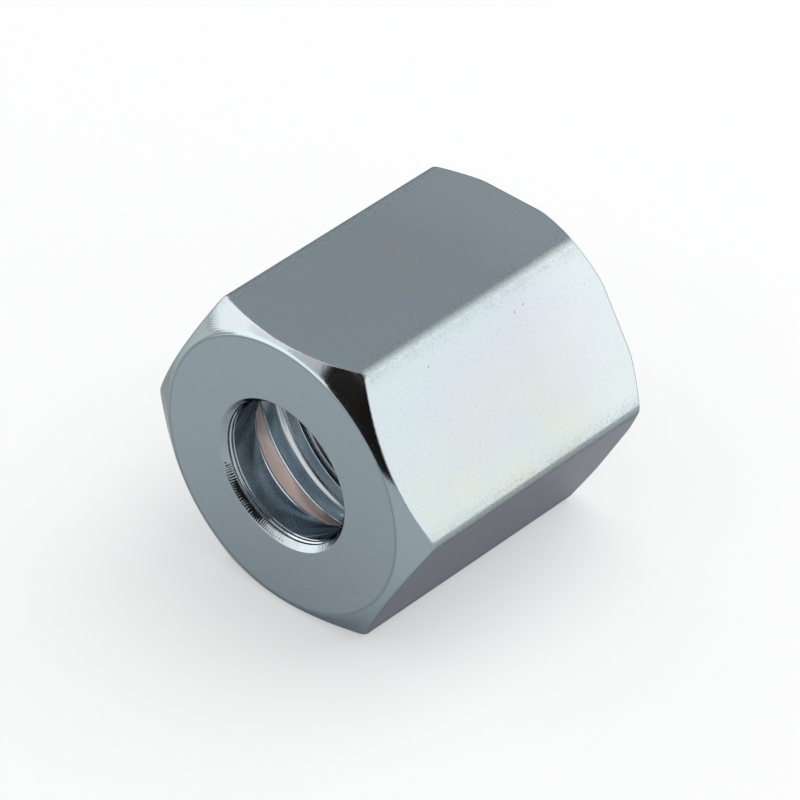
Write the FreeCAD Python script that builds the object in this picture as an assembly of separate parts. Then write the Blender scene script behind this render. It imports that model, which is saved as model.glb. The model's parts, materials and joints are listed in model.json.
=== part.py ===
import FreeCAD, Part
import math
import os

# Union nut of plated steel: a length of hexagon bar with a turned chamfer at each end. The pipe
# passes through the throat at one end, its collar bears on the cone behind the throat, and the
# other end screws over the male fitting. The nut lies on one flat, with its axis along Y, the
# pipe end towards -Y and the thread mouth towards +Y. The origin is the middle of the flat that
# it rests on. Lengths are in millimetres and angles in degrees.

# Hexagon bar
across_flats = 17.0
body_length = 17.6
corner_radius = 0.4

# Turned chamfers, each angle measured from its end face
pipe_face_diameter = 16.5
pipe_chamfer_angle = 33.0
mouth_face_diameter = 17.5
mouth_chamfer_angle = 39.0

# Throat for the pipe, with a small chamfer at its rim
throat_diameter = 8.1
throat_depth = 2.35
rim_chamfer = 0.35

# Cone that bears on the pipe's collar
seat_included_angle = 82.0

# Drilled bore that carries the thread, at the thread's inner diameter
thread_inner_diameter = 12.5

# Countersink at the thread's mouth
mouth_countersink_diameter = 14.5
mouth_countersink_included_angle = 90.0

# Tools run this far past the bar, so that no two faces lie in one plane
overrun = 1.0


def tangent(angle):
    """Tangent of an angle in degrees."""
    return math.tan(math.radians(angle))


def turned(points):
    """Solid turned about the nut's axis from points of radius and distance from the pipe face."""
    ring = [FreeCAD.Vector(radius, along, 0) for radius, along in points]
    outline = Part.makePolygon(ring + ring[:1])
    solid = Part.Face(outline).revolve(FreeCAD.Vector(0, 0, 0), FreeCAD.Vector(0, 1, 0), 360)
    return solid


def hexagon_bar():
    """Hexagon bar along Y with a flat on top and below, and its long edges rounded."""
    corner_distance = across_flats / math.sqrt(3)
    corners = []
    for number in range(6):
        angle = math.radians(60 * number)
        x = corner_distance * math.cos(angle)
        z = corner_distance * math.sin(angle)
        corners.append(FreeCAD.Vector(x, 0, z))
    section = Part.Face(Part.makePolygon(corners + corners[:1]))
    bar = section.extrude(FreeCAD.Vector(0, body_length, 0))
    long_edges = [edge for edge in bar.Edges if abs(edge.tangentAt(edge.FirstParameter).y) > 0.999]
    return bar.makeFillet(corner_radius, long_edges)


def chamfered_envelope():
    """Turned shape that cuts both ends of the bar to their chamfers."""
    outer = across_flats / math.sqrt(3) + overrun
    pipe_face = pipe_face_diameter / 2
    mouth_face = mouth_face_diameter / 2
    pipe_drop = (outer - pipe_face) * tangent(pipe_chamfer_angle)
    mouth_drop = (outer - mouth_face) * tangent(mouth_chamfer_angle)
    return turned([
        (0, 0),
        (pipe_face, 0),
        (outer, pipe_drop),
        (outer, body_length - mouth_drop),
        (mouth_face, body_length),
        (0, body_length),
    ])


def through_bore():
    """Everything turned out of the nut from end to end."""
    throat = throat_diameter / 2
    inner = thread_inner_diameter / 2
    countersink = mouth_countersink_diameter / 2
    seat_end = throat_depth + (inner - throat) / tangent(seat_included_angle / 2)
    countersink_depth = (countersink - inner) / tangent(mouth_countersink_included_angle / 2)
    flare = overrun * tangent(mouth_countersink_included_angle / 2)
    return turned([
        (0, -overrun),
        (throat + rim_chamfer + overrun, -overrun),
        (throat, rim_chamfer),
        (throat, throat_depth),
        (inner, seat_end),
        (inner, body_length - countersink_depth),
        (countersink + flare, body_length + overrun),
        (0, body_length + overrun),
    ])


def union_nut():
    """The finished nut, lying on its lower flat with the origin under its middle."""
    blank = hexagon_bar().common(chamfered_envelope())
    nut = blank.cut(through_bore())
    nut.translate(FreeCAD.Vector(0, -body_length / 2, across_flats / 2))
    solid = nut.Solids[0]
    return solid


os.makedirs("parts", exist_ok=True)
union_nut().exportStep("parts/union_nut.step")
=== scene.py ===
import json
import math
from functools import partial

import bmesh
import bpy
from mathutils import Matrix, Vector


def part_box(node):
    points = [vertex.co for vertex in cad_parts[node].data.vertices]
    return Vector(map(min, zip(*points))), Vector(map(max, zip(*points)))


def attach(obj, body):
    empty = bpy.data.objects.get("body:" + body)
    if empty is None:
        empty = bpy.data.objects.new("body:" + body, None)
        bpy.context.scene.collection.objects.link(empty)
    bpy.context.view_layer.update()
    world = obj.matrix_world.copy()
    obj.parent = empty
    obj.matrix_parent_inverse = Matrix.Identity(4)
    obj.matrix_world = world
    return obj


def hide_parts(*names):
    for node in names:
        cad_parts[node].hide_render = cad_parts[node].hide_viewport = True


bl_info = {
    "name": "Union nut",
    "version": (1, 0, 0),
    "blender": (4, 5, 0),
    "location": "View3D > Sidebar > Union nut",
    "description": "A zinc-plated hexagon union nut with its internal thread, on a pale studio floor",
    "category": "Add Mesh",
}

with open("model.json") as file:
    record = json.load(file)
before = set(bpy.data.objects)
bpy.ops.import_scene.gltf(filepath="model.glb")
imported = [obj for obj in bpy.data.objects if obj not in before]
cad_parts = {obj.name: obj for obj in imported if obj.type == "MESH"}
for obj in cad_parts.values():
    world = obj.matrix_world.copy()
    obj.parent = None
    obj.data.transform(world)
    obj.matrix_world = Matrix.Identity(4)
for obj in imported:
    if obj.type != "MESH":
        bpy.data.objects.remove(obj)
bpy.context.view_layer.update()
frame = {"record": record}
NODE = "union_nut"
BODY = "root"
LOW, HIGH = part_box(NODE)
MOUNTS = {mount["name"]: mount for mount in frame["record"]["mounts"]}
MM = 0.001

ACROSS_FLATS = HIGH.z - LOW.z
BODY_LENGTH = HIGH.y - LOW.y
THREAD_RADIUS = MOUNTS["thread"]["dims"]["r_mm"] * MM
THROAT_RADIUS = MOUNTS["pipe_throat"]["dims"]["r_mm"] * MM
AXIS_HEIGHT = MOUNTS["thread"]["pos_m"][2]
PIPE_FACE_Y = LOW.y


def linear(hex_colour):
    """Linear red, green, blue and alpha of an sRGB hex colour."""
    parts = [int(hex_colour[i:i + 2], 16) / 255 for i in (1, 3, 5)]
    return tuple(c / 12.92 if c <= 0.04045 else ((c + 0.055) / 1.055) ** 2.4 for c in parts) + (1.0,)


def add_node(tree, kind, links=None, **settings):
    """Adds a node. Settings are its properties, and links fills its inputs with values or other sockets."""
    node = tree.nodes.new(kind)
    for name, value in settings.items():
        setattr(node, name, value)
    for name, value in (links or {}).items():
        socket = node.inputs[name]
        if isinstance(value, bpy.types.NodeSocket):
            tree.links.new(value, socket)
        else:
            socket.default_value = value
    return node


def new_output(tree, kind, *inputs, output=0, **settings):
    """An output of a new shader node with its inputs given in order. None leaves an input as it is."""
    links = {index: value for index, value in enumerate(inputs) if value is not None}
    return add_node(tree, "ShaderNode" + kind, links, **settings).outputs[output]


def bare_material(name):
    """A material with an empty node tree."""
    material = bpy.data.materials.new(name)
    material.use_nodes = True
    material.node_tree.nodes.clear()
    return material


def linked_object(name, data):
    """An object with the given data, linked to the scene."""
    item = bpy.data.objects.new(name, data)
    bpy.context.scene.collection.objects.link(item)
    return item


def flat_object(name, corners, material):
    """An object with one face of four corners."""
    mesh = bpy.data.meshes.new(name)
    mesh.from_pydata([tuple(corner) for corner in corners], [], [(0, 1, 2, 3)])
    mesh.materials.append(material)
    return linked_object(name, mesh)


def length(name, description, default):
    """A length in metres that the sidebar shows in the scene's own unit."""
    return bpy.props.FloatProperty(name=name, description=description, default=default, min=0.0,
                                   unit="LENGTH", precision=5)


def angle(name, description, degrees):
    """An angle that the sidebar shows in degrees."""
    return bpy.props.FloatProperty(name=name, description=description, default=math.radians(degrees),
                                   subtype="ANGLE")


def colour(name, description, hex_colour):
    """A colour kept as linear red, green and blue."""
    return bpy.props.FloatVectorProperty(name=name, description=description, size=3, min=0.0, max=1.0,
                                         default=linear(hex_colour)[:3], subtype="COLOR")


class NutSizes(bpy.types.PropertyGroup):
    """Outside and bore of the nut."""
    corner_radius: length("Corner radius", "Rounding of the drawn bar's long corners", 0.6 * MM)
    pipe_face_radius: length("Pipe face radius", "Ridge at the edge of the pipe end's flat ring", 8.04 * MM)
    pipe_face_dish: length("Pipe face dish", "How far the flat ring lies behind its ridge", 0.012 * MM)
    pipe_chamfer_start: angle("Chamfer start", "Slope where the pipe end's chamfer leaves its ridge", 18)
    pipe_chamfer_sweep: length("Chamfer sweep", "Radius on which that slope grows to the full one", 1.2 * MM)
    pipe_chamfer: angle("Pipe chamfer", "Chamfer at the pipe end, from its face", 31.5)
    pipe_edge_round: length("Pipe chamfer edge", "Rounding between that chamfer and the flats", 0.33 * MM)
    mouth_face_radius: length("Mouth face radius", "Edge of the flat ring at the mouth", 8.66 * MM)
    mouth_chamfer: angle("Mouth chamfer", "Chamfer at the mouth, from its face", 37.3)
    edge_round: length("Mouth edge", "Rounding of the mouth chamfer's edges", 0.12 * MM)
    rim_chamfer: length("Rim chamfer", "Chamfer at the throat's rim", 0.35 * MM)
    throat_depth: length("Throat depth", "From the pipe face to the seat", 2.35 * MM)
    throat_round: length("Throat edge", "Rounding where the seat opens from the throat", 0.22 * MM)
    seat_angle: angle("Seat angle", "Included angle of the seat cone", 82)
    seat_round: length("Seat corner", "Tool radius where the seat meets the drilled bore", 0.15 * MM)
    mouth_radius: length("Mouth radius", "Outer edge of the countersink at the mouth", 7.25 * MM)
    mouth_angle: angle("Countersink angle", "Included angle of the countersink", 90)


class ThreadSizes(bpy.types.PropertyGroup):
    """The internal thread."""
    pitch: length("Pitch", "From one turn to the next", 1.5 * MM)
    outer_radius: length("Outer radius", "Radius at the thread's roots", 6.97 * MM)
    flank: angle("Flank", "Slope of each flank, from square to the axis", 30)
    root_width: length("Root width", "Flat at the bottom of each groove", 0.06 * MM)
    edge_round: length("Crest edge", "Rounding of the crest's edges", 0.03 * MM)
    lead_start: length("Lead start", "Where the tap's lead begins to cut, from the pipe face", 5.83 * MM)
    lead_angle: angle("Lead angle", "Taper of the tap's lead", 15)
    groove_place: length("Groove place", "Where the grooves pass column zero, from the pipe face", 5.243 * MM)


class PlatingColours(bpy.types.PropertyGroup):
    """Colours of the zinc plate and its passivating clear film; Below and Low seat also hold painted shade.
    """
    edges: colour("Edges", "Blue-green grey near the corners, where the film is thickest", "#919EA4")
    between: colour("Between", "Faint violet grey between the corners and the middle", "#929BA4")
    middle: colour("Middle", "Plain grey in the middle, where the film is thinnest", "#949CA2")
    cream: colour("Cream", "Straw cast of the film on the lower half of the upright flats", "#969F9A")
    # The Below colour is darker than the middle one: partly a violet cast of the film, partly painted shade
    # on the flats that face down.
    below: colour("Below", "Violet cast of the film on the flats that face down", "#85849A")
    mouth: colour("Mouth", "Lighter film toward the thread's mouth", "#A3ADB2")
    bore: colour("Bore", "Brighter plate inside the bore", "#A9B5BD")
    seat: colour("Seat", "Faint pink of the film on the seat's upper part", "#FFE4D4")
    # The low seat's colour is a straw cast of the film and darker than the seat's, as painted shade at the
    # bottom of the throat.
    seat_low: colour("Low seat", "Faint straw of the film on the seat's lower part", "#C8AF9C")
    pit: colour("Pits", "Small pits and specks", "#59626A")
    grazing: colour("Grazing", "Cast of the film where it is seen along the surface", "#A9A9B1")


class StudioSettings(bpy.types.PropertyGroup):
    """The camera's place and lens."""
    azimuth: angle("Azimuth", "Camera's turn from the pipe face", 42.9)
    elevation: angle("Elevation", "Camera's rise, seen from the nut's middle", 37.2)
    distance: length("Distance", "Camera to the middle of the nut", 0.3245)
    focal_length: bpy.props.FloatProperty(name="Lens", description="Focal length in millimetres",
                                          default=280.5, unit="CAMERA")


class Skin:
    """Collects the vertices and faces of one closed surface round the nut's axis."""

    def __init__(self):
        self.points = []
        self.faces = []
        self.marks = []

    def point(self, radius, turn, along, marks):
        """A vertex at a radius, an angle round the axis and a distance from the pipe face."""
        across, up = radius * math.cos(turn), radius * math.sin(turn)
        self.points.append((across, PIPE_FACE_Y + along, AXIS_HEIGHT + up))
        self.marks.append(marks)
        return len(self.points) - 1

    def ring(self, columns, radii_and_places, marks):
        """One vertex for each column, at its own radius and place."""
        return [self.point(radius, turn, along, marks)
                for (turn, _), (radius, along) in zip(columns, radii_and_places)]

    def join(self, first, second):
        """Quads between two rings."""
        count = len(first)
        for i in range(count):
            j = (i + 1) % count
            self.faces.append((first[i], first[j], second[j], second[i]))


def bar_columns(sizes):
    """Angle and radius of the bar's outline at each column, from the first corner round."""
    corner_steps, flat_steps, guard = 8, 20, 0.05 * MM
    core = (ACROSS_FLATS - 2 * sizes.corner_radius) / math.sqrt(3)
    outline = []
    for corner in range(6):
        heading = math.radians(60 * corner)
        centre = Vector((math.cos(heading), math.sin(heading))) * core
        for step in range(corner_steps + 1):
            normal = heading + math.radians(-30 + 60 * step / corner_steps)
            outline.append(centre + Vector((math.cos(normal), math.sin(normal))) * sizes.corner_radius)
        along_flat = Vector((-math.sin(heading + math.pi / 6), math.cos(heading + math.pi / 6)))
        start = outline[-1]
        shares = [step / flat_steps for step in range(1, flat_steps)]
        for distance in [guard] + [share * core for share in shares] + [core - guard]:
            outline.append(start + along_flat * distance)
    polar = [(math.atan2(p.y, p.x) % math.tau, p.length) for p in outline]
    return sorted(polar)


def arc(centre, radius, first, last, steps):
    """Points of radius and place on an arc. Angles are from the pipe face's outward normal."""
    return [(centre[0] + radius * math.sin(first + (last - first) * k / steps),
             centre[1] - radius * math.cos(first + (last - first) * k / steps)) for k in range(steps + 1)]


def between(first, last, shares):
    """Points at the given shares of the way between two points."""
    return [tuple(a + (b - a) * share for a, b in zip(first, last)) for share in shares]


def mouth_end(bar_radius, sizes):
    """Edge of the mouth end at a column, from the face to the side, with soft edges."""
    right_angle, chamfer, soft = math.pi / 2, sizes.mouth_chamfer, sizes.edge_round
    drop = (bar_radius - sizes.mouth_face_radius) * math.tan(chamfer)
    face_centre = (min(sizes.mouth_face_radius - soft * math.tan(chamfer / 2), bar_radius - soft), soft)
    side_centre = (bar_radius - soft, max(drop + soft * math.tan((right_angle - chamfer) / 2), soft))
    face_arc = arc(face_centre, soft, 0, chamfer, 4)
    side_arc = arc(side_centre, soft, chamfer, right_angle, 5)
    cone = between(face_arc[-1], side_arc[0], (0.06, 0.35, 0.65, 0.94))
    return face_arc + cone + side_arc


def pipe_end(bar_radius, sizes):
    """Edge of the pipe end at a column: the ridge, the chamfer that steepens outwards, and the soft edge."""
    ridge, sweep, soft = sizes.pipe_face_radius, sizes.pipe_chamfer_sweep, sizes.pipe_edge_round
    first, full = math.sin(sizes.pipe_chamfer_start), math.sin(sizes.pipe_chamfer)
    full_radius = ridge + sweep * (full - first)

    def slope_sine(radius):
        return min(first + (radius - ridge) / sweep, full)

    def drop(radius):
        curved = sweep * (math.cos(sizes.pipe_chamfer_start) - math.sqrt(1 - slope_sine(radius) ** 2))
        return curved + max(0.0, radius - full_radius) * math.tan(sizes.pipe_chamfer)

    end = bar_radius - soft
    for _ in range(40):
        end = bar_radius - soft + soft * slope_sine(end)
    steep = math.asin(slope_sine(end))
    shares = (0.0, 0.03, 0.12, 0.24, 0.36, 0.48, 0.6, 0.72, 0.84, 0.95)
    chamfer = [(ridge + (end - ridge) * share, drop(ridge + (end - ridge) * share)) for share in shares]
    side = arc((bar_radius - soft, drop(end) + soft * math.cos(steep)), soft, steep, math.pi / 2, 8)
    return chamfer + side


def soft_corner(before, corner, after, radius, steps):
    """Points of an arc that rounds the corner between two straight stretches of a profile."""
    back = (Vector(before) - Vector(corner)).normalized()
    on = (Vector(after) - Vector(corner)).normalized()
    half = back.angle(on) / 2
    reach = radius / math.tan(half)
    middle = Vector(corner) + (back + on).normalized() * (radius / math.sin(half))
    start, end = Vector(corner) + back * reach - middle, Vector(corner) + on * reach - middle
    return [tuple(middle + start.slerp(end, k / steps) * radius) for k in range(steps + 1)]


# Places from the pipe face of the rings on the throat's wall and of the foot of the rim's chamfer, and the
# share of that chamfer's size which the steps leave to it.
WALL_RINGS = (1.95 * MM, 1.6 * MM, 1.2 * MM, 0.85 * MM)
RIM_CHAMFER_FOOT = 0.33 * MM
RIM_CHAMFER_SHARE = 0.88
CHAMFER_FOOT_ROUND = 0.03 * MM
RIM_ROUND = 0.08 * MM
# Small steps that the tool left behind the throat's rim: place and height over the throat, in mm.
TOOL_STEPS = (
    (0.74, 0.0), (0.72, 0.0), (0.713, 0.004), (0.69, 0.026), (0.683, 0.03), (0.665, 0.03), (0.56, 0.03),
    (0.54, 0.03), (0.532, 0.036), (0.478, 0.084), (0.47, 0.09), (0.45, 0.09), (0.385, 0.09),
)


def bore_profile(sizes, seat_end, bore_start):
    """Radius, place and marks from the drilled bore's first stretch out to the rim at the pipe face."""
    throat = THROAT_RADIUS
    seat_corner = (THREAD_RADIUS, seat_end)
    throat_corner = (throat, sizes.throat_depth)
    rings = [(throat + height * MM, place * MM) for place, height in TOOL_STEPS]
    chamfer_corner = (rings[-1][0], RIM_CHAMFER_FOOT)
    rim = (chamfer_corner[0] + sizes.rim_chamfer * RIM_CHAMFER_SHARE, sizes.pipe_face_dish)
    bore_begins, face_goes_on = (THREAD_RADIUS, bore_start), (rim[0] + MM, rim[1])
    seat_bend = soft_corner(bore_begins, seat_corner, throat_corner, sizes.seat_round, 6)
    throat_bend = soft_corner(seat_corner, throat_corner, chamfer_corner, sizes.throat_round, 6)
    stretches = (
        (("bore",), [bore_begins] + seat_bend),
        (("bore", "seat"), between(seat_corner, throat_corner, (0.12, 0.35, 0.6, 0.86))),
        (("bore",), throat_bend + [(throat, place) for place in WALL_RINGS] + rings),
        (("rim",), soft_corner(rings[-1], chamfer_corner, rim, CHAMFER_FOOT_ROUND, 3)),
        (("rim",), between(chamfer_corner, rim, (0.25, 0.5, 0.75))),
        (("turned",), soft_corner(chamfer_corner, rim, face_goes_on, RIM_ROUND, 3)),
    )
    return [(point, marks) for marks, points in stretches for point in points]


def turn_rows(thread):
    """Shares of one pitch at which a turn has rows of vertices, with the groove's middle at one half."""
    depth = thread.outer_radius - THREAD_RADIUS
    root = thread.root_width / 2
    crest = root + depth * math.tan(thread.flank)
    near = 0.03 * MM
    marks = [root - near, root, root + near, root + (crest - root) * 0.35, root + (crest - root) * 0.7]
    marks += [crest + offset * MM for offset in (-0.06, -0.03, -0.01, 0.01, 0.03, 0.07)]
    shares = [mark / thread.pitch for mark in marks]
    return sorted([0.0, 0.5] + [0.5 - share for share in shares] + [0.5 + share for share in shares])


def thread_bed(skin, columns, thread, low_ring, high_ring, floor, ceiling, radius_at):
    """Grid whose rows follow the thread's helix between two plain rings, ready for the thread to be cut."""
    rows = turn_rows(thread)
    count, gap = len(rows), 0.02 * MM

    def place(row, turn):
        whole, part = divmod(row, count)
        return thread.groove_place + thread.pitch * (whole + rows[part] - 0.5 - turn / math.tau)

    def span(turn):
        first = -4 * count
        while place(first, turn) < floor + gap:
            first += 1
        last = first
        while place(last + 1, turn) < ceiling - gap:
            last += 1
        return first, last

    grid = []
    for turn, _ in columns:
        first, last = span(turn)
        places = {row: place(row, turn) for row in range(first, last + 1)}
        grid.append({row: skin.point(radius_at(along), turn, along, ("threaded", "bore"))
                     for row, along in places.items()})
    grid.append({row + count: index for row, index in grid[0].items()})
    for i in range(len(columns)):
        j = (i + 1) % len(columns)
        left, right = grid[i], grid[i + 1]
        start, stop = min(right), max(left)
        for row in range(start, stop):
            skin.faces.append((left[row + 1], right[row + 1], right[row], left[row]))
        extra = [left[row] for row in range(min(left), start + 1)]
        skin.faces.append([extra[-1], right[start], low_ring[j], low_ring[i]] + extra[:-1])
        over = [right[row] for row in range(max(right), stop - 1, -1)]
        skin.faces.append([left[stop], high_ring[i], high_ring[j]] + over)


# The flat ring begins a little outside the rim's chamfer and ends at the foot of the ridge. The ridge's foot
# and top count inwards from its radius.
FACE_MARGIN = 0.15 * MM
RIDGE_FOOT = 0.075 * MM
RIDGE_TOP = 0.01 * MM
SIDE_STEPS = 6
# The thread's grid begins a little past the seat and ends a little outside the roots, in the countersink.
SEAT_MARGIN = 0.2 * MM
SINK_MARGIN = 0.03 * MM
SINK_ROUND = 0.06 * MM


def nut_skin(sizes, thread):
    """The whole surface of the nut, with a plain grid where the thread will be cut."""
    skin = Skin()
    columns = bar_columns(sizes)
    guard = 0.03 * MM
    rim = THROAT_RADIUS + sizes.rim_chamfer + FACE_MARGIN

    def outer(bar_radius):
        pipe = pipe_end(bar_radius, sizes)
        mouth = [(radius, BODY_LENGTH - along) for radius, along in reversed(mouth_end(bar_radius, sizes))]
        first, last = pipe[-1][1] + guard, mouth[0][1] - guard
        side = [(bar_radius, first + (last - first) * step / SIDE_STEPS) for step in range(SIDE_STEPS + 1)]
        foot = sizes.pipe_face_radius - RIDGE_FOOT
        face = [(rim + (foot - guard - rim) * share, sizes.pipe_face_dish) for share in (0, 0.3, 0.65, 1.0)]
        face += [(foot, sizes.pipe_face_dish), (sizes.pipe_face_radius - RIDGE_TOP, 0.0)]
        back_out, back_in = mouth[-1][0] - guard, sizes.mouth_radius + 4 * guard
        back = [(back_out + (back_in - back_out) * share, BODY_LENGTH) for share in (0, 0.5, 1.0)]
        stretches = ((("turned",), face + pipe), ((), side), (("turned",), mouth + back))
        return [(point, marks) for marks, points in stretches for point in points]

    outline = [outer(bar_radius) for _, bar_radius in columns]
    rings = [skin.ring(columns, [column[row][0] for column in outline], outline[0][row][1])
             for row in range(len(outline[0]))]

    slope = math.tan(sizes.mouth_angle / 2)
    sink_start = BODY_LENGTH - (sizes.mouth_radius - THREAD_RADIUS) / slope

    def bore_radius(along):
        return THREAD_RADIUS + max(0.0, along - sink_start) * slope

    ceiling = BODY_LENGTH - (sizes.mouth_radius - thread.outer_radius) / slope + SINK_MARGIN
    mouth_edge = soft_corner((sizes.mouth_radius + MM, BODY_LENGTH), (sizes.mouth_radius, BODY_LENGTH),
                             (bore_radius(ceiling), ceiling), SINK_ROUND, 3)
    for radius, along in mouth_edge + [(bore_radius(ceiling), ceiling)]:
        rings.append(skin.ring(columns, [(radius, along)] * len(columns), ("turned",)))
    high_ring = rings[-1]
    seat_end = sizes.throat_depth + (THREAD_RADIUS - THROAT_RADIUS) / math.tan(sizes.seat_angle / 2)
    floor = seat_end + SEAT_MARGIN
    inner = [skin.ring(columns, [point] * len(columns), marks)
             for point, marks in bore_profile(sizes, seat_end, floor)]

    for first, second in zip(rings, rings[1:]):
        skin.join(first, second)
    for first, second in zip(inner, inner[1:] + rings[:1]):
        skin.join(first, second)
    thread_bed(skin, columns, thread, inner[0], high_ring, floor, ceiling, bore_radius)
    return skin


def mesh_object(name, skin):
    """A mesh object from the skin, with smooth faces that point outwards."""
    mesh = bpy.data.meshes.new(name)
    mesh.from_pydata(skin.points, [], [tuple(face) for face in skin.faces])
    for mark in ("threaded", "bore", "seat", "rim", "turned"):
        layer = mesh.attributes.new(mark, "FLOAT", "POINT")
        layer.data.foreach_set("value", [float(mark in marks) for marks in skin.marks])
    surface = bmesh.new()
    surface.from_mesh(mesh)
    bmesh.ops.recalc_face_normals(surface, faces=surface.faces)
    if surface.calc_volume(signed=True) < 0:
        bmesh.ops.reverse_faces(surface, faces=surface.faces)
    open_edges = [edge for edge in surface.edges if len(edge.link_faces) != 2]
    surface.to_mesh(mesh)
    surface.free()
    if open_edges:
        raise RuntimeError(f"the surface of {name} has {len(open_edges)} open edges")
    mesh.polygons.foreach_set("use_smooth", [True] * len(mesh.polygons))
    return linked_object(name, mesh)


def thread_tree(material):
    """Geometry nodes that cut a thread into the vertices marked as threaded."""
    tree = bpy.data.node_groups.new("Cut thread", "GeometryNodeTree")
    face = tree.interface
    face.new_socket("Geometry", in_out="INPUT", socket_type="NodeSocketGeometry")
    names = ("Pitch", "Inner Radius", "Depth", "Root Width", "Flank Slope", "Edge Round", "Groove Place",
             "Lead Start", "Lead Slope", "Axis Height")
    for name in names:
        face.new_socket(name, in_out="INPUT", socket_type="NodeSocketFloat")
    face.new_socket("Geometry", in_out="OUTPUT", socket_type="NodeSocketGeometry")
    group_in = add_node(tree, "NodeGroupInput")
    value = {name: group_in.outputs[name] for name in names}

    put = partial(new_output, tree)
    position = add_node(tree, "GeometryNodeInputPosition")
    axes = add_node(tree, "ShaderNodeSeparateXYZ", {"Vector": position.outputs[0]})
    across, along = axes.outputs["X"], axes.outputs["Y"]
    up = put("Math", axes.outputs["Z"], value["Axis Height"], operation="SUBTRACT")
    squares = [put("Math", side, side, operation="MULTIPLY") for side in (across, up)]
    radius = put("Math", put("Math", *squares, operation="ADD"), operation="SQRT")

    # How far each vertex is from the middle of the nearest groove. The 32 whole turns keep the sum above 0.
    turn = put("Math", put("Math", up, across, operation="ARCTAN2"), math.tau, operation="DIVIDE")
    travel = put("Math", along, value["Groove Place"], operation="SUBTRACT")
    travel = put("Math", travel, value["Pitch"], operation="DIVIDE")
    phase = put("Math", put("Math", travel, turn, operation="ADD"), 0.5 + 32, operation="ADD")
    phase = put("Math", put("Math", phase, operation="FRACT"), 0.5, operation="SUBTRACT")
    offset = put("Math", put("Math", phase, operation="ABSOLUTE"), value["Pitch"], operation="MULTIPLY")

    # How deep the groove is there, with its flanks, its flat root and the tap's lead.
    half_root = put("Math", value["Root Width"], 0.5, operation="MULTIPLY")
    past_root = put("Math", offset, half_root, operation="SUBTRACT")
    flank = put("Math", past_root, value["Flank Slope"], operation="DIVIDE")
    flank = put("Math", value["Depth"], flank, operation="SUBTRACT")
    lead = put("Math", along, value["Lead Start"], operation="SUBTRACT")
    lead = put("Math", lead, value["Lead Slope"], operation="MULTIPLY")
    bottom = put("Math", value["Depth"], lead, operation="MINIMUM")
    groove = put("Math", bottom, flank, value["Edge Round"], operation="SMOOTH_MIN")
    cut = put("Math", groove, 0.0, value["Edge Round"], operation="SMOOTH_MAX")
    cut = put("Math", put("Math", cut, 1e-9, operation="SUBTRACT"), 0.0, operation="MAXIMUM")

    threaded = put("Math", value["Inner Radius"], cut, operation="ADD")
    threaded = put("Math", radius, threaded, operation="MAXIMUM")
    scale = put("Math", threaded, radius, operation="DIVIDE")
    raised = put("Math", put("Math", up, scale, operation="MULTIPLY"), value["Axis Height"], operation="ADD")
    widened = put("Math", across, scale, operation="MULTIPLY")
    moved = put("CombineXYZ", widened, along, raised)
    marked = add_node(tree, "GeometryNodeInputNamedAttribute", {"Name": "threaded"}, data_type="FLOAT")
    chosen = add_node(tree, "FunctionNodeCompare", {"A": marked.outputs["Attribute"], "B": 0.5},
                      data_type="FLOAT", operation="GREATER_THAN")
    placed = add_node(tree, "GeometryNodeSetPosition", {
        "Geometry": group_in.outputs["Geometry"],
        "Selection": chosen.outputs[0],
        "Position": moved,
    })
    whole = add_node(tree, "GeometryNodeRealizeInstances", {"Geometry": placed.outputs[0]})
    plated = add_node(tree, "GeometryNodeSetMaterial", {"Geometry": whole.outputs[0], "Material": material})
    add_node(tree, "NodeGroupOutput", {"Geometry": plated.outputs[0]})
    return tree


def cut_thread(blank, thread, material):
    """Runs the thread's geometry nodes on the blank and returns the result as a plain mesh object."""
    tree = thread_tree(material)
    modifier = blank.modifiers.new("Cut thread", "NODES")
    modifier.node_group = tree
    sizes = {
        "Pitch": thread.pitch,
        "Inner Radius": THREAD_RADIUS,
        "Depth": thread.outer_radius - THREAD_RADIUS,
        "Root Width": thread.root_width,
        "Flank Slope": math.tan(thread.flank),
        "Edge Round": thread.edge_round,
        "Groove Place": PIPE_FACE_Y + thread.groove_place,
        "Lead Start": PIPE_FACE_Y + thread.lead_start,
        "Lead Slope": math.tan(thread.lead_angle),
        "Axis Height": AXIS_HEIGHT,
    }
    for item in tree.interface.items_tree:
        if item.item_type == "SOCKET" and item.name in sizes:
            modifier[item.identifier] = float(sizes[item.name])
    graph = bpy.context.evaluated_depsgraph_get()
    mesh = bpy.data.meshes.new_from_object(blank.evaluated_get(graph))
    name = blank.name
    old = blank.data
    bpy.data.objects.remove(blank)
    bpy.data.meshes.remove(old)
    mesh.name = name
    mesh.attributes.remove(mesh.attributes["threaded"])
    return linked_object(name, mesh)


# Where the finish changes. Heights and radii count from the bore's axis, places along it from the middle of
# the nut toward the mouth, and turns round it from the right. A change starts at the first value of a pair
# and is full at the second. Over FILM_REACH from the middle of a flat, the film's measure grows from 0 to 1.
FILM_REACH = 4.8 * MM
FLATS_BEGIN = (7.5 * MM, 8.0 * MM)
CHAMFER_BEGINS = (8.05 * MM, 8.4 * MM)
UPPER_CHAMFER = (0.5 * MM, 5.0 * MM)
STRAW_GROWS = (6.0 * MM, 1.5 * MM)
# Below this height the flats that face down take the darker violet colour, partly painted shade.
FACES_DOWN = (-0.4 * MM, -1.4 * MM)
NEARS_MOUTH = (2.5 * MM, 7.0 * MM)
# Below UPPER_SEAT the seat takes the low seat's darker colour, painted shade at the bottom of the throat.
UPPER_SEAT = (-5.15 * MM, -4.6 * MM)
TORN_BEGINS = (-3.3 * MM, -3.1 * MM)
TORN_ENDS = (-2.7 * MM, -2.5 * MM)
RIDGE_RADIUS = 8.01 * MM
RIDGE_FADES = (0.03 * MM, 0.12 * MM)
SCUFFS_BEGIN = (9.27 * MM, 9.55 * MM)
WEAR_BEGINS = (9.3 * MM, 9.62 * MM)

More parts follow.
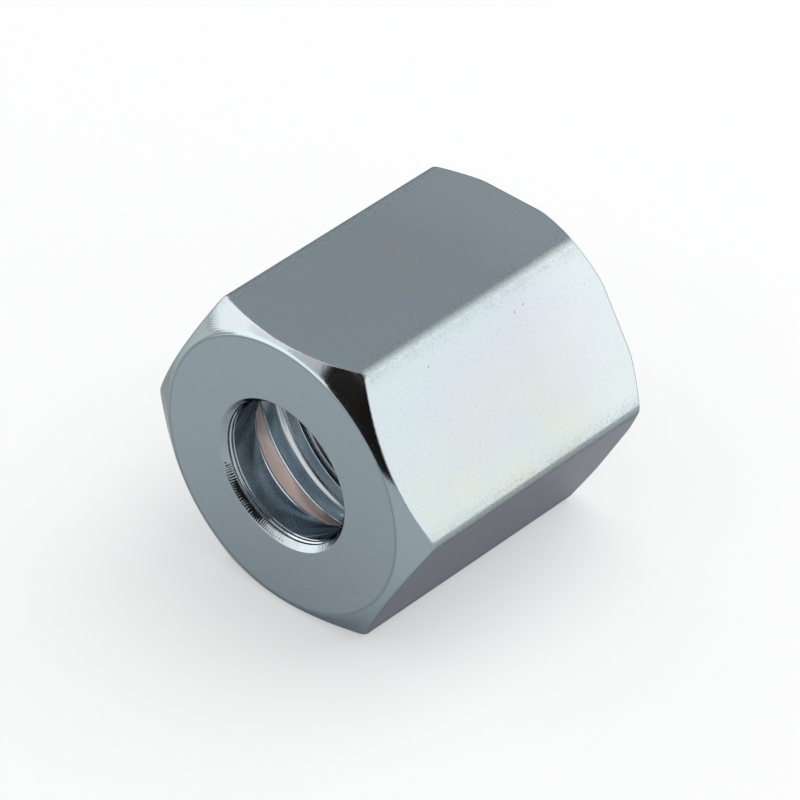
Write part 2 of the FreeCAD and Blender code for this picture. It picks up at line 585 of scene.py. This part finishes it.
# How strongly each mark takes the pits' colour, and how much each adds to the roughness.
TORN_SHADE, PIT_SHADE, SCUFF_SHADE, RIDGE_SHADE = 0.42, 0.5, 0.3, 0.32
SEAT_MATT, WORN_MATT, TORN_MATT = 0.2, 0.2, 0.1

# Marks of the tools. A turned face has finer ones than these, which are as fine as the render shows.
MARK_SPACING = 0.11 * MM
COARSER_MARKS = (8.1 * MM, 8.4 * MM)
CHATTER_BEATS = 185.0
RIM_RADIUS = THROAT_RADIUS + 0.398 * MM
TICK_LENGTH = 0.22 * MM
TICKS_BEGIN = (math.radians(-162), math.radians(-153))
TICKS_END = (math.radians(-104), math.radians(-90))

# Soft patterns: one over the size of a patch, then detail and roughness. Most values lie in SOFT_RANGE.
FILM_DRIFT = (1 / (4.348 * MM), 2.0, 0.55)
STRAW_PATCHES = (1 / (2.381 * MM), 2.0, 0.55)
TURNING_WANDER = (1 / (2.222 * MM), 2.0, 0.55)
GLOSS_PATCHES = (1 / (1.4286 * MM), 3.0, 0.55)
CHATTER_PATCHES = (1 / (1.111 * MM), 1.0, 0.55)
TICK_PATCHES = (1 / (0.9091 * MM), 1.0, 0.55)
WEAR_PATCHES = (1 / (0.8333 * MM), 2.0, 0.55)
CHATTER_WANDER = (1 / (0.6667 * MM), 1.0, 0.55)
BAR_WAVES = (1 / (0.5263 * MM), 1.0, 0.55)
SCUFFS = (1 / (0.11765 * MM), 2.0, 0.55)
PIT_SCATTER = 1 / (0.7143 * MM)
SOFT_RANGE = (0.3, 0.7)
# The plate's real crystals are finer. This is as fine as the render shows.
GRAIN = (1 / (0.125 * MM), 2.0, 0.55)


class Finish:
    """The tree of the nut's material, with the places and marks on the nut that its parts read."""

    def __init__(self, tree):
        self.tree = tree
        self.put = partial(new_output, tree)
        self.place = self.put("TexCoord", output="Object")
        axes = add_node(tree, "ShaderNodeSeparateXYZ", {"Vector": self.place})
        self.across, self.along = axes.outputs["X"], axes.outputs["Y"]
        self.up = self.put("Math", axes.outputs["Z"], AXIS_HEIGHT, operation="SUBTRACT")
        squares = [self.put("Math", side, 2.0, operation="POWER") for side in (self.across, self.up)]
        self.radius = self.put("Math", self.put("Math", *squares, operation="ADD"), operation="SQRT")
        self.turn = self.put("Math", self.up, self.across, operation="ARCTAN2")
        self.bore, self.seat, self.rim, self.turned = [
            self.put("Attribute", output="Fac", attribute_name=name)
            for name in ("bore", "seat", "rim", "turned")]
        self.drawn = self.outside(self.turned)

    def within(self, share, *others):
        """What lies within all of the given shares of the surface, which is their product."""
        for other in others:
            share = self.put("Math", share, other, operation="MULTIPLY")
        return share

    def outside(self, share):
        """The share of the surface that the given one leaves."""
        return self.put("Math", 1.0, share, operation="SUBTRACT")


# A mix node's sockets for colours. Their names repeat for each kind of value, so they go by number.
MIX_SHARE, MIX_UNDER, MIX_OVER, MIX_RESULT = 0, 6, 7, 2


def lay_coats(tree, base, coats):
    """Lays colours over a base one after the other, each by its own share."""
    for share, coat in coats:
        over = coat if isinstance(coat, bpy.types.NodeSocket) else (*coat, 1.0)
        links = {MIX_SHARE: share, MIX_UNDER: base, MIX_OVER: over}
        base = add_node(tree, "ShaderNodeMix", links, data_type="RGBA").outputs[MIX_RESULT]
    return base


def film_thickness(finish):
    """0 in the middle of a flat, past 1 at its corners and ends, and growing outwards on the turned ends."""
    put, within = finish.put, finish.within
    half_flat = ACROSS_FLATS / 2

    radius_squared = put("Math", finish.radius, 2.0, operation="POWER")
    past_middle = put("Math", radius_squared, half_flat ** 2, operation="SUBTRACT")
    across_flat = put("Math", past_middle, FILM_REACH ** 2, operation="DIVIDE")
    skew = put("Math", finish.across, 0.2, operation="MULTIPLY")
    skewed = put("Math", finish.along, skew, operation="SUBTRACT")
    from_centre = put("Math", skewed, BODY_LENGTH / 2, operation="DIVIDE")
    lengthwise = put("Math", from_centre, 2.0, operation="POWER")
    on_flat = put("Math", put("Math", across_flat, 0.0, operation="MAXIMUM"), lengthwise, operation="ADD")

    outward = put("Math", put("Math", finish.radius, half_flat, operation="DIVIDE"), 2.0, operation="POWER")
    on_ends = put("Math", outward, 0.42, operation="ADD")
    thinner = within(put("MapRange", finish.radius, *CHAMFER_BEGINS),
                     put("MapRange", finish.up, *UPPER_CHAMFER, 0.0, 0.8))
    on_ends = within(on_ends, finish.outside(thinner))

    spread = put("Math", within(on_flat, finish.drawn), within(on_ends, finish.turned), operation="ADD")
    drift = put("MapRange", put("TexNoise", finish.place, None, *FILM_DRIFT), *SOFT_RANGE, -0.4, 0.4)
    return put("Math", spread, drift, operation="ADD")


def film_coats(finish, colours):
    """Film colours by thickness and place, bore and seat plate, and painted shade on down-facing flats and
    low seat.
    """
    put, within = finish.put, finish.within
    film = film_thickness(finish)
    flats = within(put("MapRange", finish.radius, *FLATS_BEGIN), finish.drawn)
    patches = put("MapRange", put("TexNoise", finish.place, None, *STRAW_PATCHES), 0.35, 0.6, 0.35, 1.0)
    straw = put("MapRange", finish.up, *STRAW_GROWS, 0.0, 0.75)
    # Flats that face down get a darker violet: partly the film's cast, partly painted shade.
    below = put("MapRange", finish.up, *FACES_DOWN, 0.0, 0.42)
    far = put("MapRange", finish.along, *NEARS_MOUTH, 0.0, 0.42)
    # The seat is pink above and darker straw at its bottom, where the darkening is painted shade.
    seat_film = lay_coats(finish.tree, (*colours.seat_low, 1.0),
                          [(put("MapRange", finish.up, *UPPER_SEAT), colours.seat)])
    return [
        (put("MapRange", film, 0.0, 0.35), colours.between),
        (put("MapRange", film, 0.3, 0.8), colours.edges),
        (within(straw, patches, flats), colours.cream),
        (within(below, flats), colours.below),
        (within(far, flats), colours.mouth),
        (finish.bore, colours.bore),
        (finish.seat, seat_film),
    ]


def pits_and_specks(finish):
    """Pits of 0.05 to 0.1 mm, as a pickled bar has, in some cells of a 0.7 mm scatter."""
    cells = add_node(finish.tree, "ShaderNodeTexVoronoi",
                     {"Vector": finish.place, "Scale": PIT_SCATTER, "Randomness": 1.0})
    chosen = add_node(finish.tree, "ShaderNodeSeparateColor", {"Color": cells.outputs["Color"]})
    size = finish.put("Math", chosen.outputs["Red"], 0.09, operation="MULTIPLY")
    inside = finish.put("Math", size, cells.outputs["Distance"], operation="SUBTRACT")
    few = finish.put("Math", chosen.outputs["Green"], 0.6, operation="GREATER_THAN")
    return finish.within(finish.put("MapRange", inside, 0.0, 0.04), few,
                         finish.outside(finish.within(finish.turned, 0.6)))


def ridge_line(finish):
    """A line where the facing tool left its ridge at the edge of the flat ring."""
    off_ridge = finish.put("Math", finish.radius, RIDGE_RADIUS, operation="SUBTRACT")
    distance = finish.put("Math", off_ridge, operation="ABSOLUTE")
    return finish.within(finish.put("MapRange", distance, *RIDGE_FADES, RIDGE_SHADE, 0.0), finish.turned)


def scuffs(finish):
    """Scuffs of 0.1 mm beside the long corners, where the nuts knock against each other in the barrel."""
    specks = finish.put("TexNoise", finish.place, None, *SCUFFS)
    return finish.within(finish.put("MapRange", finish.radius, *SCUFFS_BEGIN), finish.drawn,
                         finish.put("MapRange", specks, 0.52, 0.66), SCUFF_SHADE)


def torn_start(finish):
    """The first turn of the thread, which the tap tore a little, so that it is duller than the rest."""
    begins = finish.put("MapRange", finish.along, *TORN_BEGINS)
    ends = finish.put("MapRange", finish.along, *TORN_ENDS, 1.0, 0.0)
    return finish.within(begins, ends, finish.bore)


def worn_corners(finish):
    """The long corners, worn matt in patches of about 0.8 mm."""
    patches = finish.put("TexNoise", finish.place, None, *WEAR_PATCHES)
    return finish.within(finish.put("MapRange", finish.radius, *WEAR_BEGINS),
                         finish.put("MapRange", patches, 0.3, 0.6, 0.4, 1.0))


def tool_marks(finish):
    """Heights of the turning marks, of the tool's chatter on the rim and of its ticks inside the rim."""
    put, within = finish.put, finish.within
    wander = put("TexNoise", finish.place, None, *TURNING_WANDER)
    wander = put("Math", wander, 9.0, operation="MULTIPLY")
    phase = put("Math", finish.radius, math.tau / MARK_SPACING, wander, operation="MULTIPLY_ADD")
    coarse = within(put("MapRange", finish.radius, *COARSER_MARKS, 1.0, 2.5), finish.turned)
    turning = within(put("Math", phase, operation="SINE"), coarse)

    ragged = put("TexNoise", finish.place, None, *CHATTER_WANDER)
    ragged = put("Math", ragged, 14.0, operation="MULTIPLY")
    phase = put("Math", finish.turn, CHATTER_BEATS, ragged, operation="MULTIPLY_ADD")
    beat = put("Math", phase, operation="SINE")
    patches = put("TexNoise", finish.place, None, *CHATTER_PATCHES)
    chatter = within(put("MapRange", patches, 0.4, 0.6, 0.15, 1.0), finish.rim, beat)

    inward = put("MapRange", finish.radius, RIM_RADIUS - TICK_LENGTH, RIM_RADIUS, 1.3, -0.1)
    uneven = put("MapRange", put("TexNoise", finish.place, None, *TICK_PATCHES), 0.35, 0.65, -0.4, 0.4)
    reach = put("Math", inward, uneven, operation="ADD")
    ticks = within(
        put("MapRange", put("Math", beat, reach, operation="SUBTRACT"), 0.0, 0.25),
        finish.rim,
        put("MapRange", finish.turn, *TICKS_END, 1.0, 0.0),
        put("MapRange", finish.turn, *TICKS_BEGIN),
        put("Math", RIM_RADIUS, finish.radius, operation="SUBTRACT"),
    )
    return turning, chatter, ticks


def relief(finish, grain, pits, worn):
    """The normal with the waves of the drawn bar, the grain, the marks that the tools left and the pits."""
    turning, chatter, ticks = tool_marks(finish)
    outside = finish.outside(finish.within(finish.bore, 0.85))
    waves = finish.within(
        finish.put("TexNoise", finish.place, None, *BAR_WAVES),
        finish.put("Math", outside, worn, operation="ADD"),
        finish.outside(finish.within(finish.turned, 0.5)),
    )
    # Each height, how deep a height of 1 is, and whether it sinks in. The ticks' height is a length already.
    layers = (
        (waves, 0.005 * MM, False),
        (finish.within(grain, outside), 0.0014 * MM, False),
        (turning, 0.0002 * MM, False),
        (chatter, 0.0045 * MM, False),
        (ticks, 1.4, False),
        (pits, 0.01 * MM, True),
    )
    below = {}
    for height, depth, sunk in layers:
        links = {"Height": height, "Strength": 1.0, "Distance": depth, **below}
        below = {"Normal": add_node(finish.tree, "ShaderNodeBump", links, invert=sunk).outputs["Normal"]}
    return below["Normal"]


def zinc_plated_steel(colours):
    """Cold-drawn steel, turned at its ends, barrel-plated with zinc and passivated clear.

    The eye gets a satin mirror of blue-grey metal. The clear film adds a faint cast that goes with its
    thickness: blue-green near the corners, violet further in, and straw on the lower half of the upright
    flats. It is violet and darker on the flats that face down, the darkening being painted shade, and it is
    lighter toward the mouth. The seat is pink above and straw at its bottom, where it is also darker as
    painted shade.
    """
    material = bare_material("Zinc-plated steel")
    tree = material.node_tree
    finish = Finish(tree)
    put, within = finish.put, finish.within
    pits, torn, worn = pits_and_specks(finish), torn_start(finish), worn_corners(finish)

    plate = lay_coats(tree, (*colours.middle, 1.0), film_coats(finish, colours) + [
        (within(torn, TORN_SHADE), colours.pit),
        (ridge_line(finish), colours.pit),
        (within(pits, PIT_SHADE), colours.pit),
        (scuffs(finish), colours.pit),
    ])
    grain = put("TexNoise", finish.place, None, *GRAIN)
    shade = put("MapRange", grain, *SOFT_RANGE, 0.96, 1.04)
    plate = put("VectorMath", plate, None, None, shade, operation="SCALE")

    satin = put("MapRange", put("TexNoise", finish.place, None, *GLOSS_PATCHES), *SOFT_RANGE, 0.09, 0.15)
    matt = put("Math", within(finish.seat, SEAT_MATT), within(worn, WORN_MATT), operation="ADD")
    matt = put("Math", matt, within(torn, TORN_MATT), operation="ADD")
    surface = add_node(tree, "ShaderNodeBsdfPrincipled", {
        "Base Color": plate,
        "Metallic": 1.0,
        "Roughness": put("Math", satin, matt, operation="ADD"),
        "Specular Tint": (*colours.grazing, 1.0),
        "Normal": relief(finish, grain, pits, worn),
    })
    add_node(tree, "ShaderNodeOutputMaterial", {"Surface": surface.outputs["BSDF"]})
    return material


class NUT_OT_body(bpy.types.Operator):
    """Makes the plated nut with its thread."""
    bl_idname = "union_nut.body"
    bl_label = "Nut"

    def execute(self, context):
        scene = context.scene
        blank = mesh_object("plated_nut", nut_skin(scene.nut_sizes, scene.nut_thread))
        material = zinc_plated_steel(scene.nut_colours)
        nut = cut_thread(blank, scene.nut_thread, material)
        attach(nut, BODY)
        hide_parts(NODE)
        return {"FINISHED"}


def toward(azimuth, distance, elevation):
    """A point seen from the nut's middle. Azimuth counts from straight before the pipe face to its right."""
    turn, rise = math.radians(azimuth), math.radians(elevation)
    return Vector((math.sin(turn) * distance, -math.cos(turn) * distance,
                   AXIS_HEIGHT + distance * math.tan(rise)))


# Cards that stand round the nut and show only in its reflections: azimuth and distance of both ends,
# elevation of the lower and the upper edge, colour and strength.
STANDING_CARDS = (
    ("left card 1", (-110, 0.17), (-48, 0.17), -9, 40, "#FFF8F2", 2.75),
    ("left card 2", (-48, 0.1), (-28, 0.1), 10, 40, "#FFF8F2", 2.2),
    ("left card 3", (-28, 0.1), (-5, 0.1), 10, 40, "#FFF8F2", 1.45),
    ("low card 2", (-48, 0.1), (-28, 0.1), -5, 10, "#FFFCF6", 2.8),
    ("low card 3", (-28, 0.1), (-5, 0.1), -5, 10, "#FFFCF6", 2.6),
    ("right card", (62, 0.5), (150, 0.5), -2, 34, "#FFF9F5", 2.45),
    ("back card", (150, 0.5), (196, 0.5), -2, 46, "#FFF9F5", 2.1),
    ("high card 1", (207, 0.3), (176, 0.3), 38, 72, "#FFF7EE", 1.15),
    ("high card 2", (176, 0.3), (150, 0.3), 46, 72, "#FFF7EE", 1.45),
    ("high card 3", (150, 0.3), (120, 0.3), 34, 72, "#FFF8F0", 1.9),
    ("near flag", (-7.2, 0.0355), (35, 0.136), -30, 60, "#2A2621", 1.0),
    ("far flag", (25, 0.3), (41, 0.3), -30, 50, "#202020", 1.0),
)
# Sheets that lie before the nut, for its lowest faces to reflect: corners in mm, colour and strength.
LYING_SHEETS = (
    ("left sheet", ((-14, -9), (-95, -60), (-95, 12), (-14, 5)), "#FFFEF0", 1.46),
    ("front sheet", ((-32, -27), (-6, -41.6), (-13, -95), (-73, -62)), "#FFFCF6", 1.9),
)
SHEET_HEIGHT = 0.05 * MM

TENT_STRENGTH = 0.745
SOFTBOX_SIZE = 0.7
SOFTBOX_RADIANCE = 1.2
SOFTBOX_AZIMUTH, SOFTBOX_ELEVATION, SOFTBOX_DISTANCE = 156, 62, 0.65
# How much of its white the paper shines by itself, where the camera or a reflection sees it.
PAPER_GLOW = 0.36
# How far the camera stands to its right, as a share of the width across flats.
CAMERA_SHIFT = 0.006


def shine_card(name, corners, shade, strength):
    """A card that shows only in reflections."""
    material = bare_material(name)
    glow = new_output(material.node_tree, "Emission", linear(shade), strength)
    add_node(material.node_tree, "ShaderNodeOutputMaterial", {"Surface": glow})
    card = flat_object(name, corners, material)
    card.visible_camera = False
    card.visible_diffuse = False
    card.visible_shadow = False


def white_paper():
    """Matt white paper that also shines a little of its own where the camera or a reflection sees it."""
    material = bare_material("White paper")
    put = partial(new_output, material.node_tree)
    rays = add_node(material.node_tree, "ShaderNodeLightPath").outputs
    seen = rays["Is Camera Ray"]
    for other in ("Is Glossy Ray", "Is Transmission Ray"):
        seen = put("Math", seen, rays[other], operation="MAXIMUM")
    share = put("Math", seen, PAPER_GLOW, operation="MULTIPLY")
    matt, white = put("BsdfDiffuse", linear("#FCFCFC")), put("Emission", linear("#FFFFFF"), 1.0)
    mixed = put("MixShader", share, matt, white)
    add_node(material.node_tree, "ShaderNodeOutputMaterial", {"Surface": mixed})
    return material


class NUT_OT_stage(bpy.types.Operator):
    """Sets the floor, the light, the cards and the camera."""
    bl_idname = "union_nut.stage"
    bl_label = "Stage"

    def execute(self, context):
        scene = context.scene
        studio = scene.nut_studio
        middle = Vector((0, 0, AXIS_HEIGHT))

        world = bpy.data.worlds.new("Grey tent")
        world.use_nodes = True
        tent = world.node_tree.nodes["Background"]
        tent.inputs["Color"].default_value = linear("#FCFEFF")
        tent.inputs["Strength"].default_value = TENT_STRENGTH
        scene.world = world

        floor = flat_object("floor", [(-1, -1, 0), (1, -1, 0), (1, 1, 0), (-1, 1, 0)], white_paper())

        softbox = bpy.data.lights.new("softbox", "AREA")
        softbox.shape = "SQUARE"
        softbox.size = SOFTBOX_SIZE
        softbox.color = linear("#FFFCF9")[:3]
        softbox.energy = SOFTBOX_RADIANCE * math.pi * softbox.size ** 2
        lamp = linked_object("softbox", softbox)
        heading = (toward(SOFTBOX_AZIMUTH, 1.0, SOFTBOX_ELEVATION) - middle).normalized()
        facing = heading.to_track_quat("Z", "Y").to_matrix().to_4x4()
        lamp.matrix_world = Matrix.Translation(middle + heading * SOFTBOX_DISTANCE) @ facing
        lamp.visible_camera = False
        lamp.visible_glossy = False

        for name, start, end, low, high, shade, strength in STANDING_CARDS:
            corners = (toward(*start, low), toward(*end, low), toward(*end, high), toward(*start, high))
            shine_card(name, corners, shade, strength)
        for name, places, shade, strength in LYING_SHEETS:
            shine_card(name, [(x * MM, y * MM, SHEET_HEIGHT) for x, y in places], shade, strength)

        camera = bpy.data.cameras.new("camera")
        camera.lens = studio.focal_length
        camera.sensor_width = 36.0
        camera.clip_end = 10.0
        viewer = linked_object("camera", camera)
        level = math.cos(studio.elevation)
        back = Vector((math.sin(studio.azimuth) * level, -math.cos(studio.azimuth) * level,
                       math.sin(studio.elevation)))
        turned = back.to_track_quat("Z", "Y").to_matrix()
        shift = turned @ Vector((CAMERA_SHIFT * ACROSS_FLATS, 0.0, 0.0))
        viewer.matrix_world = Matrix.Translation(middle + back * studio.distance + shift) @ turned.to_4x4()
        scene.camera = viewer
        scene.view_settings.view_transform = "Standard"
        return {"FINISHED"}


class NUT_PT_panel(bpy.types.Panel):
    """Sizes and colours of the nut."""
    bl_idname = "NUT_PT_panel"
    bl_label = "Union nut"
    bl_space_type = "VIEW_3D"
    bl_region_type = "UI"
    bl_category = "Union nut"

    def draw(self, context):
        scene = context.scene
        for group in (scene.nut_sizes, scene.nut_thread, scene.nut_colours, scene.nut_studio):
            column = self.layout.column()
            for name in group.bl_rna.properties.keys():
                if name not in ("rna_type", "name"):
                    column.prop(group, name)
        self.layout.operator(NUT_OT_body.bl_idname)
        self.layout.operator(NUT_OT_stage.bl_idname)


CLASSES = (NutSizes, ThreadSizes, PlatingColours, StudioSettings, NUT_OT_body, NUT_OT_stage, NUT_PT_panel)


def register():
    """Adds the classes and the scene's settings."""
    for item in CLASSES:
        bpy.utils.register_class(item)
    bpy.types.Scene.nut_sizes = bpy.props.PointerProperty(type=NutSizes)
    bpy.types.Scene.nut_thread = bpy.props.PointerProperty(type=ThreadSizes)
    bpy.types.Scene.nut_colours = bpy.props.PointerProperty(type=PlatingColours)
    bpy.types.Scene.nut_studio = bpy.props.PointerProperty(type=StudioSettings)


def unregister():
    """Takes them away again."""
    for name in ("nut_sizes", "nut_thread", "nut_colours", "nut_studio"):
        delattr(bpy.types.Scene, name)
    for item in reversed(CLASSES):
        bpy.utils.unregister_class(item)


def main():
    register()
    bpy.ops.union_nut.body()
    bpy.ops.union_nut.stage()


if __name__ == "__main__":
    main()
